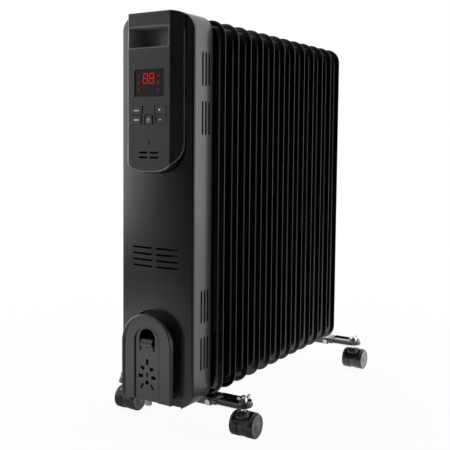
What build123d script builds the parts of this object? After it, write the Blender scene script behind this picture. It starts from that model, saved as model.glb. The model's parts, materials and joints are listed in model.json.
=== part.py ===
from build123d import *
import math
import os

# Oil filled radiator heater: twelve welded oil fins behind a control cover, on castor feet.
# Millimetres. +Z is up, the control panel faces -Y and the fins stack along +Y. The origin is
# on the floor, under the middle of the heater's bounding box. "Depth" is measured towards +Y
# from the foremost line of the crowned cover.

os.makedirs("parts", exist_ok=True)

# ---------------------------------------------------------------- driving dimensions
FIN_COUNT = 12
FIN_PITCH = 38.3
FIN_WIDTH = 166.0
FIN_HEIGHT = 575.0
FIN_CORNER = 27.0
FIN_BOTTOM = 62.0
FIRST_FIN_DEPTH = 66.0
SEAM_THICKNESS = 1.6
CHAMBER_INSET = 10.0
CHAMBER_RISE = 2.4
CHANNEL_RISE = 2.6
CHANNEL_WIDTH = 26.0
CHANNEL_SPACING = 52.0
HEADER_INSET = 45.0
HEADER_BORE = 17.0
HEADER_RADIUS = 22.0

COVER_WIDTH = 133.0
COVER_HEIGHT = 589.5
COVER_BOTTOM = 53.0
COVER_CORNER = 27.0
COVER_CROWN = 6.7
COVER_DEPTH = 55.7
FASCIA_DEPTH = 9.8
FASCIA_EDGE = 3.0
PARTING_GAP = 0.9
FASCIA_WALL = 2.5
HOUSING_WALL = 1.8

PANEL_PROUD = 14.0
PANEL_FLAT_HALF = 38.0
PANEL_HALF = 51.2
PANEL_BOTTOM = 410.5
PANEL_WALL = 2.5
FLANGE_WIDTH = 1.8
FLANGE_THICKNESS = 1.6
SHADOW_GAP = 1.7

WINDER_PROUD = 20.0
WINDER_THICKNESS = 6.0
WINDER_HALF = 46.0
WINDER_TOP = 196.0
WINDER_BOTTOM = 64.0
WINDER_LIP = 4.5
BAY_HALF = 48.5
BAY_TOP = 199.5
BAY_DEPTH = 8.0

KEY_TRAVEL = 0.8
KEY_GAP = 0.4
KEY_FLANGE = 0.7

STEM_X = 113.8
FRONT_STEM_DEPTH = 77.0
REAR_STEM_DEPTH = 515.0
PIVOT_X = 60.0
PIVOT_Z = 51.0
FOOT_TOP = 58.0
FOOT_BOTTOM = 46.0
FOOT_WALL = 2.0
ARM_HALF_WIDTH = 18.0
ARM_TOP = 58.5
ARM_BOTTOM = 50.5
ARM_END_X = 110.0
ARM_WALL = 1.6
ARM_FLANGE = 3.0
ARM_STEP = 1.8
ARM_GAP = 2.4
SIDE_CLEARANCE = 0.4
WHEEL_RADIUS = 19.0
CASTOR_HALF_WIDTH = 20.0
CASTOR_TRAIL = 8.0
HOOD_RADIUS = 20.9
HOOD_HALF_WIDTH = 17.0
HOOD_WEB_HALF = 5.2
HOOD_EDGE = 26.0
HOOD_TOP = 42.0
STEM_RADIUS = 4.0
AXLE_RADIUS = 3.5
PIN_RADIUS = 3.0
RUNNING_CLEARANCE = 0.05

# ---------------------------------------------------------------- worked out
HOOD_REACH = math.sqrt(HOOD_RADIUS ** 2 - (HOOD_EDGE - WHEEL_RADIUS) ** 2)
REARMOST_DEPTH = REAR_STEM_DEPTH + CASTOR_TRAIL + HOOD_REACH
FACE_Y = (WINDER_PROUD - REARMOST_DEPTH) / 2
COVER_TOP = COVER_BOTTOM + COVER_HEIGHT
COVER_MIDDLE = COVER_BOTTOM + COVER_HEIGHT / 2
CROWN_RADIUS = ((COVER_WIDTH / 2) ** 2 + COVER_CROWN ** 2) / (2 * COVER_CROWN)
FIN_MIDDLE = FIN_BOTTOM + FIN_HEIGHT / 2
HEADER_LOW = FIN_BOTTOM + HEADER_INSET
HEADER_HIGH = FIN_BOTTOM + FIN_HEIGHT - HEADER_INSET
CHANNEL_BOTTOM = 153.0
CHANNEL_TOP = 553.0
CHAMBER_HALF = SEAM_THICKNESS / 2 + CHAMBER_RISE
CHANNEL_HALF = CHAMBER_HALF + CHANNEL_RISE
LAST_FIN_DEPTH = FIRST_FIN_DEPTH + (FIN_COUNT - 1) * FIN_PITCH
HOUSING_FRONT = FASCIA_DEPTH + PARTING_GAP
MOUNTING_PLATE_BACK = COVER_DEPTH - 2.0
RAIL_HALF_WIDTH = ARM_HALF_WIDTH - ARM_WALL - SIDE_CLEARANCE
RAIL_END_X = PIVOT_X + 5.2
CORNERS = {
    "front_left": (-1, FRONT_STEM_DEPTH),
    "front_right": (1, FRONT_STEM_DEPTH),
    "rear_left": (-1, REAR_STEM_DEPTH),
    "rear_right": (1, REAR_STEM_DEPTH),
}


def save(name, shape):
    export_step(shape, f"parts/{name}.step")
    print(name, len(shape.solids()))


# ---------------------------------------------------------------- helpers
def at(x, depth, z):
    """A location given by its depth behind the cover's foremost line."""
    return Pos(x, FACE_Y + depth, z)


def prism(sketch, front, back):
    """A sketch seen from the front, X right and Z up, extruded between two depths."""
    plane = Plane((0, FACE_Y + back, 0), x_dir=(1, 0, 0), z_dir=(0, -1, 0))
    return extrude(plane * sketch, back - front, dir=(0, -1, 0))


def upright(sketch, low, high):
    """A sketch seen from above, X right and depth up, extruded between two heights."""
    plane = Plane((0, FACE_Y, low), x_dir=(1, 0, 0), z_dir=(0, 0, 1))
    return extrude(plane * sketch, high - low, dir=(0, 0, 1))


def rod(radius, x, z, front, back):
    """A round bar along Y between two depths."""
    return prism(Pos(x, z) * Circle(radius), front, back)


def block(x_range, depth_range, z_range):
    """A rectangular block given by its limits."""
    size = [high - low for low, high in (x_range, depth_range, z_range)]
    centre = [(high + low) / 2 for low, high in (x_range, depth_range, z_range)]
    return at(*centre) * Box(*size)


def group(shapes):
    return Compound(children=[shape for shape in shapes])


def rounded(width, height, radius, centre_z, centre_x=0.0):
    return Pos(centre_x, centre_z) * RectangleRounded(width, height, radius)


def arch(half_width, bottom, top):
    """A doorway outline: straight sides under a semicircle."""
    spring = top - half_width
    rectangle = Pos(0, (bottom + spring) / 2) * Rectangle(2 * half_width, spring - bottom)
    return rectangle + Pos(0, spring) * Circle(half_width)


def shield(half_width, bottom, corner=40.0, top=700.0):
    """The control panel's outline: a U with large corners at its foot."""
    straight = Pos(0, (bottom + corner + top) / 2) * Rectangle(2 * half_width, top - bottom - corner)
    foot = rounded(2 * half_width, 2 * corner + 2, corner, bottom + corner + 1)
    return straight + foot


def crown(offset=0.0):
    """Everything behind the crowned front, set back by the offset."""
    centre = at(0, CROWN_RADIUS + offset, COVER_MIDDLE)
    return centre * Cylinder(CROWN_RADIUS, COVER_HEIGHT + 100)


def rounded_front():
    """The crowned front whose two upright edges are rounded."""
    section = Pos(0, CROWN_RADIUS) * Circle(CROWN_RADIUS) & Pos(0, 50) * Rectangle(COVER_WIDTH, 120)
    section = fillet(section.vertices().group_by(Axis.Y)[0], FASCIA_EDGE)
    return upright(section, COVER_BOTTOM - 50, COVER_TOP + 50)


def cover_outline(inset=0.0):
    corner = COVER_CORNER - inset
    return rounded(COVER_WIDTH - 2 * inset, COVER_HEIGHT - 2 * inset, corner, COVER_MIDDLE)


# ---------------------------------------------------------------- oil core
def fin(depth):
    """Two pressed sheets welded round a flat seam, with a raised chamber and oil channels."""
    body = prism(rounded(FIN_WIDTH, FIN_HEIGHT, FIN_CORNER, FIN_MIDDLE),
                 depth - SEAM_THICKNESS / 2, depth + SEAM_THICKNESS / 2)
    chamber = prism(rounded(FIN_WIDTH - 2 * CHAMBER_INSET, FIN_HEIGHT - 2 * CHAMBER_INSET,
                            FIN_CORNER - CHAMBER_INSET, FIN_MIDDLE),
                    depth - CHAMBER_HALF, depth + CHAMBER_HALF)
    body += chamfer(chamber.edges() | Plane.XZ, CHAMBER_RISE * 0.8)
    length = CHANNEL_TOP - CHANNEL_BOTTOM
    middle = (CHANNEL_TOP + CHANNEL_BOTTOM) / 2
    for x in (-CHANNEL_SPACING, 0, CHANNEL_SPACING):
        outline = Pos(x, middle) * Rot(0, 0, 90) * SlotOverall(length, CHANNEL_WIDTH)
        channel = prism(outline, depth - CHANNEL_HALF, depth + CHANNEL_HALF)
        body += chamfer(channel.edges() | Plane.XZ, CHANNEL_RISE * 0.8)
    for z in (HEADER_LOW, HEADER_HIGH):
        body -= rod(HEADER_BORE, 0, z, depth - 20, depth + 20)
    return body


def collar(z, front, back):
    """A ring that carries the oil from one fin to the next."""
    return rod(HEADER_RADIUS, 0, z, front, back) - rod(HEADER_BORE, 0, z, front, back)


def header_collars(z):
    """The rings between neighbouring fins at one height."""
    rings = []
    for index in range(FIN_COUNT - 1):
        depth = FIRST_FIN_DEPTH + index * FIN_PITCH
        rings.append(collar(z, depth + CHAMBER_HALF, depth + FIN_PITCH - CHAMBER_HALF))
    return rings


def end_cap(z, face, direction):
    """A dished disc that closes the end of a header. Direction -1 faces forwards."""
    cap = at(0, face + direction * 1.5, z) * Rot(90, 0, 0) * Cylinder(HEADER_RADIUS, 3)
    outer = cap.edges().filter_by(GeomType.CIRCLE).sort_by(Axis.Y)
    return chamfer(outer[-1 if direction > 0 else 0], 1.2)


FIRST_FACE = FIRST_FIN_DEPTH - CHAMBER_HALF
LAST_FACE = LAST_FIN_DEPTH + CHAMBER_HALF
SOCKET_FRONT = FIRST_FACE - 5.0
GASKET_FRONT = SOCKET_FRONT - 1.5


def heating_element():
    """A screwed plug that holds two hairpin tubes in the lower header's oil."""
    head = rod(HEADER_RADIUS + 1, 0, HEADER_LOW, GASKET_FRONT - 4, GASKET_FRONT)
    hexagon = Pos(0, HEADER_LOW) * RegularPolygon(21, 6)
    head += prism(hexagon, GASKET_FRONT - 9, GASKET_FRONT - 4)
    far = LAST_FIN_DEPTH - 40
    bend = 5.0
    for z in (-7.0, 7.0):
        for x in (-bend, bend):
            head += rod(3.5, x, HEADER_LOW + z, GASKET_FRONT - 5, far)
            head += rod(1.6, x, HEADER_LOW + z, GASKET_FRONT - 18, GASKET_FRONT - 9)
        elbow = at(0, far, HEADER_LOW + z) * Torus(bend, 3.5)
        head += elbow & block((-15, 15), (far, far + 15), (HEADER_LOW - 15, HEADER_LOW + 15))
    return head


# ---------------------------------------------------------------- cover
def slot_across(x, z, width, height):
    return Pos(x, z) * SlotOverall(width, height)


FRONT_VENT_X = 23.2
FRONT_VENT_WIDTH = 39.0
FRONT_VENT_HEIGHT = 3.0
FRONT_VENT_TOP = 293.2
FRONT_VENT_PITCH = 9.3


def front_fascia():
    """The crowned front moulding, open for the control panel and the cord bay."""
    shell = prism(cover_outline(), -20, FASCIA_DEPTH) & rounded_front()
    shell -= prism(cover_outline(FASCIA_WALL), -20, FASCIA_DEPTH + 1) & crown(FASCIA_WALL)
    shell -= prism(panel_outline(FLANGE_WIDTH + SHADOW_GAP), -20, 20)
    shell -= prism(arch(BAY_HALF, 0, BAY_TOP), -20, 20)
    for side in (-1, 1):
        for row in range(4):
            slot = slot_across(side * FRONT_VENT_X, FRONT_VENT_TOP - row * FRONT_VENT_PITCH,
                               FRONT_VENT_WIDTH, FRONT_VENT_HEIGHT)
            shell -= prism(slot, -20, 20)
    return shell


SIDE_VENT_HEIGHTS = [COVER_MIDDLE + offset for offset in (213.5, 141.5, -141.5, -213.5)]
SIDE_VENT_DEPTHS = (29.4, 38.0, 46.6)
SIDE_VENT_LENGTH = 50.0
SIDE_VENT_WIDTH = 4.0
SCREW_RADIUS = 1.6
GLAND_X = -30.0
GLAND_DEPTH = 26.0
GLAND_RADIUS = 6.4
CORD_BORE = 4.4
COVER_SCREW_SITES = [(x, z) for x in (-61.5, 61.5) for z in (110.0, COVER_MIDDLE, 585.0)]


def side_housing():
    """The band round the cover's edge, with a rear lip and four groups of side vents."""
    band = prism(cover_outline(), HOUSING_FRONT, COVER_DEPTH)
    band -= prism(cover_outline(HOUSING_WALL), HOUSING_FRONT - 1, MOUNTING_PLATE_BACK)
    band -= prism(cover_outline(8.0), MOUNTING_PLATE_BACK - 1, COVER_DEPTH + 1)
    for z in SIDE_VENT_HEIGHTS:
        for depth in SIDE_VENT_DEPTHS:
            cutter = Rot(0, 90, 0) * extrude(SlotOverall(SIDE_VENT_LENGTH, SIDE_VENT_WIDTH), 200, both=True)
            band -= at(0, depth, z) * cutter
    band -= at(GLAND_X, GLAND_DEPTH, COVER_BOTTOM) * Cylinder(GLAND_RADIUS, 20)
    for x, z in COVER_SCREW_SITES:
        band -= rod(SCREW_RADIUS, x, z, MOUNTING_PLATE_BACK - 1, COVER_DEPTH + 1)
    return band


def mounting_plate():
    """The steel plate that closes the cover's back and holds it to the first fin."""
    front = MOUNTING_PLATE_BACK - 1.5
    plate = prism(cover_outline(HOUSING_WALL + 0.2), front, MOUNTING_PLATE_BACK)
    plate -= rod(HEADER_RADIUS + 5, 0, HEADER_LOW, front - 1, MOUNTING_PLATE_BACK + 1)
    for x, z in COVER_SCREW_SITES:
        plate -= rod(SCREW_RADIUS, x, z, front - 1, MOUNTING_PLATE_BACK + 1)
    for row in range(5):
        slot = slot_across(0, 300 + row * 14, 70, 6)
        plate -= prism(slot, front - 1, MOUNTING_PLATE_BACK + 1)
    return plate


def cover_screws():
    """Screws from the band's rear lip into the mounting plate."""
    screws = []
    for x, z in COVER_SCREW_SITES:
        shank = rod(SCREW_RADIUS, x, z, MOUNTING_PLATE_BACK - 7, COVER_DEPTH)
        head = rod(SCREW_RADIUS * 1.8, x, z, COVER_DEPTH, COVER_DEPTH + 1.8)
        screws.append(shank + head)
    return group(screws)


def mounting_straps():
    """Two straps welded across the first fin's centre channel."""
    straps = []
    for z in (200.0, 500.0):
        strap = block((-30, 30), (MOUNTING_PLATE_BACK, FIRST_FIN_DEPTH - CHANNEL_HALF), (z - 9, z + 9))
        hollow = block((-26, 26), (MOUNTING_PLATE_BACK + 1.2, 80), (z - 10, z + 10))
        hollow -= block((-10, 10), (0, 100), (z - 20, z + 20))
        straps.append(strap - hollow)
    return group(straps)


# ---------------------------------------------------------------- control panel
GRIP_HALF = 35.7
GRIP_BOTTOM = 592.0
GRIP_TOP = 621.0
GRIP_DEPTH = 37.0
GRIP_WALL = 2.0
DISPLAY_HALF = 26.5
DISPLAY_BOTTOM = 520.0
DISPLAY_TOP = 559.5
PANEL_FACE = -PANEL_PROUD


KEY_ROWS = {"upper": (493.7, 506.2), "lower": (479.4, 491.9)}
KEY_OUTER_X = 32.0
SLIT_WIDTH = 1.5
POWER_KEY_BOTTOM = 478.6
POWER_KEY_TOP = 491.5
IR_CENTRE = 452.3
PANEL_VENT_ROWS = (437.5, 430.5)


def side_key_outline(side, row, rim=0.0, slit=0.0):
    """One of the outer keys, grown by a rim all round and by a slit on its slanted inner side."""
    low, high = KEY_ROWS[row]
    low, high = low - rim, high + rim
    inner_low, inner_high = [11.9 + (507.0 - z) * 0.1 - rim - slit for z in (low, high)]
    outer = KEY_OUTER_X + rim
    corners = [(inner_low, low), (outer, low), (outer, high), (inner_high, high)]
    return Polygon(*[(side * x, z) for x, z in corners], align=None)


def power_key_outline(rim=0.0, slit=0.0):
    """The middle key: a little wider at its foot, with an arched top."""
    foot = 7.2 + rim + slit
    shoulder = 5.9 + rim + slit
    low, high = POWER_KEY_BOTTOM - rim, POWER_KEY_TOP + rim
    body = Polygon((-foot, low), (foot, low), (shoulder, high), (-shoulder, high), align=None)
    return body + Pos(0, high) * scale(Circle(shoulder), (1, 0.35, 1))


def key_outlines(rim=0.0, slit=0.0):
    """The five keys' outlines, by name."""
    outlines = {}
    for side, column in ((-1, "left"), (1, "right")):
        for row in KEY_ROWS:
            outlines[f"{column}_{row}_key"] = side_key_outline(side, row, rim, slit)
    outlines["power_key"] = power_key_outline(rim, slit)
    return outlines


def drop_outline(rim=0.0):
    """The receiver's lens: a small drop with its point upwards."""
    point = Polygon((-2.3 - rim, 1.1), (2.3 + rim, 1.1), (0, 5.2 + rim), align=None)
    return Pos(0, IR_CENTRE) * (Circle(2.6 + rim) + point)


def panel_outline(growth=0.0):
    """The panel's U outline, grown sideways and downwards."""
    return shield(PANEL_HALF + growth, PANEL_BOTTOM - growth, corner=40.0 + growth)


def panel_section(inset):
    """The panel's cross-section seen from above: a flat front between two slanted facets."""
    front = PANEL_FACE + inset
    flat = PANEL_FLAT_HALF - inset * 0.6
    edge = PANEL_HALF - inset * 1.2
    corners = [(-edge, 30), (-edge, 1.5 + inset), (-flat, front),
               (flat, front), (edge, 1.5 + inset), (edge, 30)]
    return Polygon(*corners, align=None)


def panel_body(inset):
    """The raised part of the panel, shrunk on every side by the inset."""
    body = upright(panel_section(inset), PANEL_BOTTOM - 10, COVER_TOP + 10)
    return body & prism(panel_outline(-inset), -40, 25) & prism(cover_outline(inset), -40, 25)


def control_bezel():
    """The raised U-shaped panel on its base flange, which stands in a hole of the fascia."""
    flange = prism(panel_outline(FLANGE_WIDTH), -20, FASCIA_DEPTH)
    flange &= prism(cover_outline(), -20, FASCIA_DEPTH)
    bezel = (panel_body(0) - crown()) + (flange & crown(-FLANGE_THICKNESS))
    bezel -= panel_body(PANEL_WALL)
    bezel -= prism(rounded(2 * (GRIP_HALF + GRIP_WALL), GRIP_TOP - GRIP_BOTTOM + 2 * GRIP_WALL, 2.5,
                           (GRIP_TOP + GRIP_BOTTOM) / 2), -20, 30)
    bezel -= prism(rounded(2 * DISPLAY_HALF, DISPLAY_TOP - DISPLAY_BOTTOM, 1.5,
                           (DISPLAY_TOP + DISPLAY_BOTTOM) / 2), -20, 0)
    for outline in key_outlines(rim=KEY_GAP, slit=SLIT_WIDTH).values():
        bezel -= prism(outline, -20, 0)
    bezel -= prism(drop_outline(), -20, 0)
    for x in (-10.0, 10.0):
        for z in PANEL_VENT_ROWS:
            bezel -= prism(slot_across(x, z, 16.4, 3.0), -20, 0)
    return bezel


def grip_pocket():
    """The finger recess behind the top of the panel."""
    middle = (GRIP_TOP + GRIP_BOTTOM) / 2
    height = GRIP_TOP - GRIP_BOTTOM
    outer = prism(rounded(2 * (GRIP_HALF + GRIP_WALL), height + 2 * GRIP_WALL, 2.5, middle),
                  PANEL_FACE, PANEL_FACE + GRIP_DEPTH + GRIP_WALL)
    inner = prism(rounded(2 * GRIP_HALF, height, 1.5, middle), PANEL_FACE - 1, PANEL_FACE + GRIP_DEPTH)
    return outer - inner


def display_window():
    middle = (DISPLAY_TOP + DISPLAY_BOTTOM) / 2
    outline = rounded(2 * DISPLAY_HALF, DISPLAY_TOP - DISPLAY_BOTTOM, 1.5, middle)
    return prism(outline, PANEL_FACE + 0.8, PANEL_FACE + PANEL_WALL)


BOARD_FRONT = 0.0


def display_module():
    """The boxed light-emitting display behind the window."""
    middle = (DISPLAY_TOP + DISPLAY_BOTTOM) / 2
    return prism(rounded(50, 36, 1.0, middle), PANEL_FACE + PANEL_WALL + 1.0, BOARD_FRONT)


def control_board():
    """The circuit board behind the panel with one push switch under each key."""
    board = prism(rounded(84, 130, 2, 508), BOARD_FRONT, BOARD_FRONT + 1.6)
    for outline in key_outlines().values():
        centre = outline.bounding_box().center()
        body = block((centre.X - 3, centre.X + 3), (BOARD_FRONT - 4, BOARD_FRONT),
                     (centre.Y - 3, centre.Y + 3))
        board += body + rod(1.7, centre.X, centre.Y, BOARD_FRONT - 5, BOARD_FRONT - 4)
    board += block((-3, 3), (BOARD_FRONT - 5, BOARD_FRONT), (IR_CENTRE - 4, IR_CENTRE + 4))
    return board


def key(name):
    """A key cap with its retaining flange and the stalk that presses its switch."""
    outline = key_outlines()[name]
    cap_back = PANEL_FACE + PANEL_WALL + KEY_GAP
    cap = prism(outline, PANEL_FACE - 0.4, cap_back)
    cap += prism(key_outlines(rim=KEY_FLANGE)[name], cap_back, cap_back + 1.2)
    centre = outline.bounding_box().center()
    stalk_end = BOARD_FRONT - 5 - KEY_TRAVEL - KEY_GAP
    cap += rod(2.5, centre.X, centre.Y, cap_back + 1.2, stalk_end)
    return cap


def ir_window():
    """The remote control receiver's small lens, with a rim behind the panel."""
    lens = prism(drop_outline(), PANEL_FACE - 0.4, PANEL_FACE + PANEL_WALL)
    return lens + prism(drop_outline(1.0), PANEL_FACE + PANEL_WALL, PANEL_FACE + PANEL_WALL + 1.2)


def power_board():
    """The mains circuit board with two relays and a terminal block."""
    board = prism(rounded(100, 130, 2, 400), 36.0, 37.6)
    for x in (-24.0, 4.0):
        board += block((x, x + 19), (20, 36), (420, 449))
    board += block((-36, 36), (24, 36), (345, 361))
    return board


# ---------------------------------------------------------------- cord storage
def cord_bay():
    """The arched tray behind the fascia in which the mains cord is wound."""
    outline = arch(BAY_HALF + HOUSING_WALL, 0, BAY_TOP + HOUSING_WALL) & cover_outline(FASCIA_WALL + 0.1)
    tray = prism(outline, -20, BAY_DEPTH + HOUSING_WALL) & crown(FASCIA_WALL + 0.1)
    return tray - prism(arch(BAY_HALF, 0, BAY_TOP), -30, BAY_DEPTH)


HUB_HALF = 33.0
HUB_TOP = 183.0
HUB_BOTTOM = 66.0
PIN_CENTRE = 102.0
HOOK_BOTTOM = 141.0
HOOK_TOP = 174.0
HOOK_HALF = 14.5


def plug_pin_slots():
    """The pattern of slots that parks the plug's pins: a ring of slots round a centre slot."""
    slots = Pos(0, PIN_CENTRE + 1) * Rectangle(3.0, 7.0)
    slots += Pos(0, PIN_CENTRE + 21) * Rectangle(4.4, 8.5)
    slots += Pos(0, PIN_CENTRE - 10.5) * Circle(3.4)
    for side in (-1, 1):
        slots += Pos(side * 12.0, PIN_CENTRE - 1.5) * Rectangle(8.0, 5.2)
        slots += Pos(side * 8.4, PIN_CENTRE + 11) * Rot(0, 0, side * 35) * Rectangle(6.4, 5.2)
        slots += Pos(side * 9.6, PIN_CENTRE - 16.5) * Rot(0, 0, side * 28) * Rectangle(3.0, 9.0)
    return slots


def cord_winder():
    """The arched plate and hub that the cord winds round, with the plug hook and pin slots."""
    front = -WINDER_PROUD
    back = front + WINDER_THICKNESS
    plate = prism(arch(WINDER_HALF, WINDER_BOTTOM, WINDER_TOP), front, back)
    rim = plate.edges().filter_by_position(Axis.Y, FACE_Y + front - 0.1, FACE_Y + front + 0.1)
    plate = fillet(rim, 1.6)
    inside = arch(WINDER_HALF - WINDER_LIP, WINDER_BOTTOM - 5, WINDER_TOP - WINDER_LIP)
    plate -= prism(inside, front - 1, front + 1.2)
    panel = prism(arch(22.5, WINDER_BOTTOM - 5, 177.0), front - 1, front + 3.2)
    plate -= panel
    hub = prism(arch(HUB_HALF, HUB_BOTTOM, HUB_TOP), back, BAY_DEPTH)
    hub -= prism(arch(HUB_HALF - 2.5, HUB_BOTTOM + 2.5, HUB_TOP - 2.5), back, BAY_DEPTH + 1)
    winder = plate + hub
    cavity = arch(HOOK_HALF, 150.0, HOOK_TOP)
    for side in (-1, 1):
        middle = Pos(side * (HOOK_HALF - 2), (150.0 + HOOK_BOTTOM) / 2)
        cavity += middle * Rectangle(3.0, 152.0 - HOOK_BOTTOM)
    winder -= prism(cavity, front - 1, back + 1)
    winder -= prism(plug_pin_slots(), front - 1, back + 1)
    return winder + plug_hook(front, back)


def plug_hook(front, back):
    """The curved tongue that the plug's cord is pushed behind."""
    width = 2 * (HOOK_HALF - 4.0)
    radius = 8.0
    centre_depth = front + radius
    centre_z = 151.0
    ring = Circle(radius) - Circle(radius - 2.4)
    quarter = ring & Pos(-radius, radius) * Rectangle(2 * radius, 2 * radius)
    plane = Plane((-width / 2, FACE_Y + centre_depth, centre_z), x_dir=(0, 1, 0), z_dir=(1, 0, 0))
    tongue = extrude(plane * quarter, width)
    foot = block((-width / 2, width / 2), (front, back - 1.0), (147.0, centre_z))
    return tongue + foot


def cord_gland():
    """The strain relief in the cover's underside, where the mains cord comes out."""
    shank = Pos(0, 0, 5) * Cylinder(GLAND_RADIUS, 10)
    flange = Pos(0, 0, -0.9) * Cylinder(GLAND_RADIUS + 1.4, 1.8)
    nose = Pos(0, 0, -7.8) * Cone(5.4, GLAND_RADIUS, 12)
    return at(GLAND_X, GLAND_DEPTH, COVER_BOTTOM) * (shank + flange + nose - Cylinder(CORD_BORE, 60))


# ---------------------------------------------------------------- safety parts
def tip_switch():
    """The tilt switch that cuts the power when the heater falls over."""
    return block((18, 42), (34, 50), (62, 84)) + block((22, 38), (31, 34), (66, 80))


def thermal_cutout():
    """The snap disc clipped to the first fin."""
    disc = rod(8.0, 26, 560, FIRST_FACE - 5, FIRST_FACE)
    disc += rod(6.0, 26, 560, MOUNTING_PLATE_BACK, FIRST_FACE - 5)
    return disc


# ---------------------------------------------------------------- feet
def foot_bracket(stem_depth, saddle_front, saddle_back, seats):
    """A channel across the heater with a saddle plate under two fins."""
    length = 2 * RAIL_END_X
    half = RAIL_HALF_WIDTH
    rail = at(0, stem_depth, (FOOT_TOP + FOOT_BOTTOM) / 2) * Box(length, 2 * half, FOOT_TOP - FOOT_BOTTOM)
    rail -= at(0, stem_depth, FOOT_BOTTOM + (FOOT_TOP - FOOT_BOTTOM) / 2 - FOOT_WALL) * Box(
        length + 1, 2 * (half - FOOT_WALL), FOOT_TOP - FOOT_BOTTOM)
    rail += block((-40, 40), (saddle_front, saddle_back), (FOOT_TOP - FOOT_WALL, FOOT_TOP))
    for depth in seats:
        for side in (-1, 1):
            rail += block((side * 36 - 5, side * 36 + 5), (depth - 3, depth + 3), (FOOT_TOP, FIN_BOTTOM))
    for side in (-1, 1):
        pivot = at(side * PIVOT_X, stem_depth, PIVOT_Z) * Rot(90, 0, 0)
        rail -= pivot * Cylinder(PIN_RADIUS, 100)
        leg = at(side * U_BOLT_RADIUS, sum(seats) / 2, FOOT_TOP)
        rail -= leg * Cylinder(U_BOLT_WIRE, 20)
    return rail


U_BOLT_WIRE = 3.0
U_BOLT_RADIUS = HEADER_RADIUS + U_BOLT_WIRE


def pivot_pin(side, stem_depth):
    """The headed pin that an arm folds on."""
    reach = ARM_HALF_WIDTH + SIDE_CLEARANCE
    pin = rod(PIN_RADIUS, side * PIVOT_X, PIVOT_Z, stem_depth - reach, stem_depth + reach)
    for end in (-1, 1):
        head = at(side * PIVOT_X, stem_depth + end * (reach + 0.7), PIVOT_Z) * Rot(90, 0, 0)
        pin += head * Cylinder(4.6, 1.4)
    return pin


def u_bolt(depth):
    """The bolt that holds a bracket up against the lower header."""
    bow = at(0, depth, HEADER_LOW) * Rot(90, 0, 0) * Torus(U_BOLT_RADIUS, U_BOLT_WIRE)
    bow &= block((-40, 40), (depth - 10, depth + 10), (HEADER_LOW, HEADER_LOW + 40))
    for side in (-1, 1):
        leg = at(side * U_BOLT_RADIUS, depth, (HEADER_LOW + 47) / 2)
        bow += leg * Cylinder(U_BOLT_WIRE, HEADER_LOW - 47)
    return bow


def u_bolt_nuts(depth):
    nuts = []
    for side in (-1, 1):
        site = at(side * U_BOLT_RADIUS, depth, 0)
        top = FOOT_TOP - FOOT_WALL
        nut = extrude(RegularPolygon(6.0, 6), 5) - Cylinder(U_BOLT_WIRE, 20)
        nuts.append(Pos(0, 0, top - 5) * site * nut)
    return nuts


def arm_outline(inset, start):
    """The arm seen from above: parallel sides and a round end."""
    half = ARM_HALF_WIDTH - inset
    strip = Pos((start + ARM_END_X) / 2, 0) * Rectangle(ARM_END_X - start, 2 * half)
    return strip + Pos(ARM_END_X, 0) * Circle(half)


WEB_TOP = ARM_TOP - 2.5


def foot_arm(side, stem_depth):
    """A pressed tray with a stepped rim. Its ears straddle the bracket, and it folds down on its pin."""
    start = RAIL_END_X + ARM_GAP
    wall = ARM_STEP + ARM_WALL
    arm = upright(arm_outline(0, start), ARM_BOTTOM, ARM_BOTTOM + ARM_FLANGE)
    arm += upright(arm_outline(ARM_STEP, start), ARM_BOTTOM, ARM_TOP)
    arm -= upright(arm_outline(wall, start - 5), ARM_BOTTOM - 1, WEB_TOP - FOOT_WALL)
    arm -= upright(arm_outline(wall + 1.2, start + 3.0), WEB_TOP, ARM_TOP + 1)
    arm += upright(Pos(STEM_X, 0) * Circle(9.0), ARM_BOTTOM, WEB_TOP)
    ear_radius = PIVOT_Z - FOOT_BOTTOM
    for edge in (-1, 1):
        ear = Pos(PIVOT_X, 0, PIVOT_Z) * Rot(90, 0, 0) * Cylinder(ear_radius, ARM_WALL)
        neck = Box(start + 8 - PIVOT_X, ARM_WALL, 2 * ear_radius - 3)
        ear += Pos((PIVOT_X + start + 8) / 2, 0, PIVOT_Z + 1.5) * neck
        arm += Pos(0, FACE_Y + edge * (ARM_HALF_WIDTH - ARM_WALL / 2), 0) * ear
    arm -= Pos(PIVOT_X, FACE_Y, PIVOT_Z) * Rot(90, 0, 0) * Cylinder(PIN_RADIUS + RUNNING_CLEARANCE, 100)
    arm -= Pos(STEM_X, FACE_Y, ARM_BOTTOM) * Cylinder(STEM_RADIUS, 60)
    arm = Pos(0, stem_depth, 0) * arm
    return arm if side > 0 else mirror(arm, Plane.YZ)


def castor_fixing(side, stem_depth):
    """The castor's stem with its shoulder nut, and the wing nut on top of the arm."""
    site = at(side * STEM_X, stem_depth, 0)
    stem_foot = HOOD_TOP - 15
    stem = extrude(Pos(0, 0, stem_foot) * Circle(STEM_RADIUS), WEB_TOP + 10 - stem_foot)
    stem += extrude(Pos(0, 0, ARM_BOTTOM - 3.2) * RegularPolygon(7.2, 6), 3.2)
    hub = Pos(0, 0, WEB_TOP + 3.5) * Cone(7.0, 5.2, 7)
    for wing in (-1, 1):
        outline = Polygon((4, 2), (9.5, 10), (12, 10.5), (12.5, 7), (8, 0.5), align=None)
        plane = Plane((0, 0, WEB_TOP), x_dir=(wing, 0, 0), z_dir=(0, -wing, 0))
        hub += Rot(0, 0, 70) * extrude(plane * outline, 1.3, both=True)
    nut = hub - Cylinder(STEM_RADIUS, 200)
    return group([site * stem, site * nut])


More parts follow.
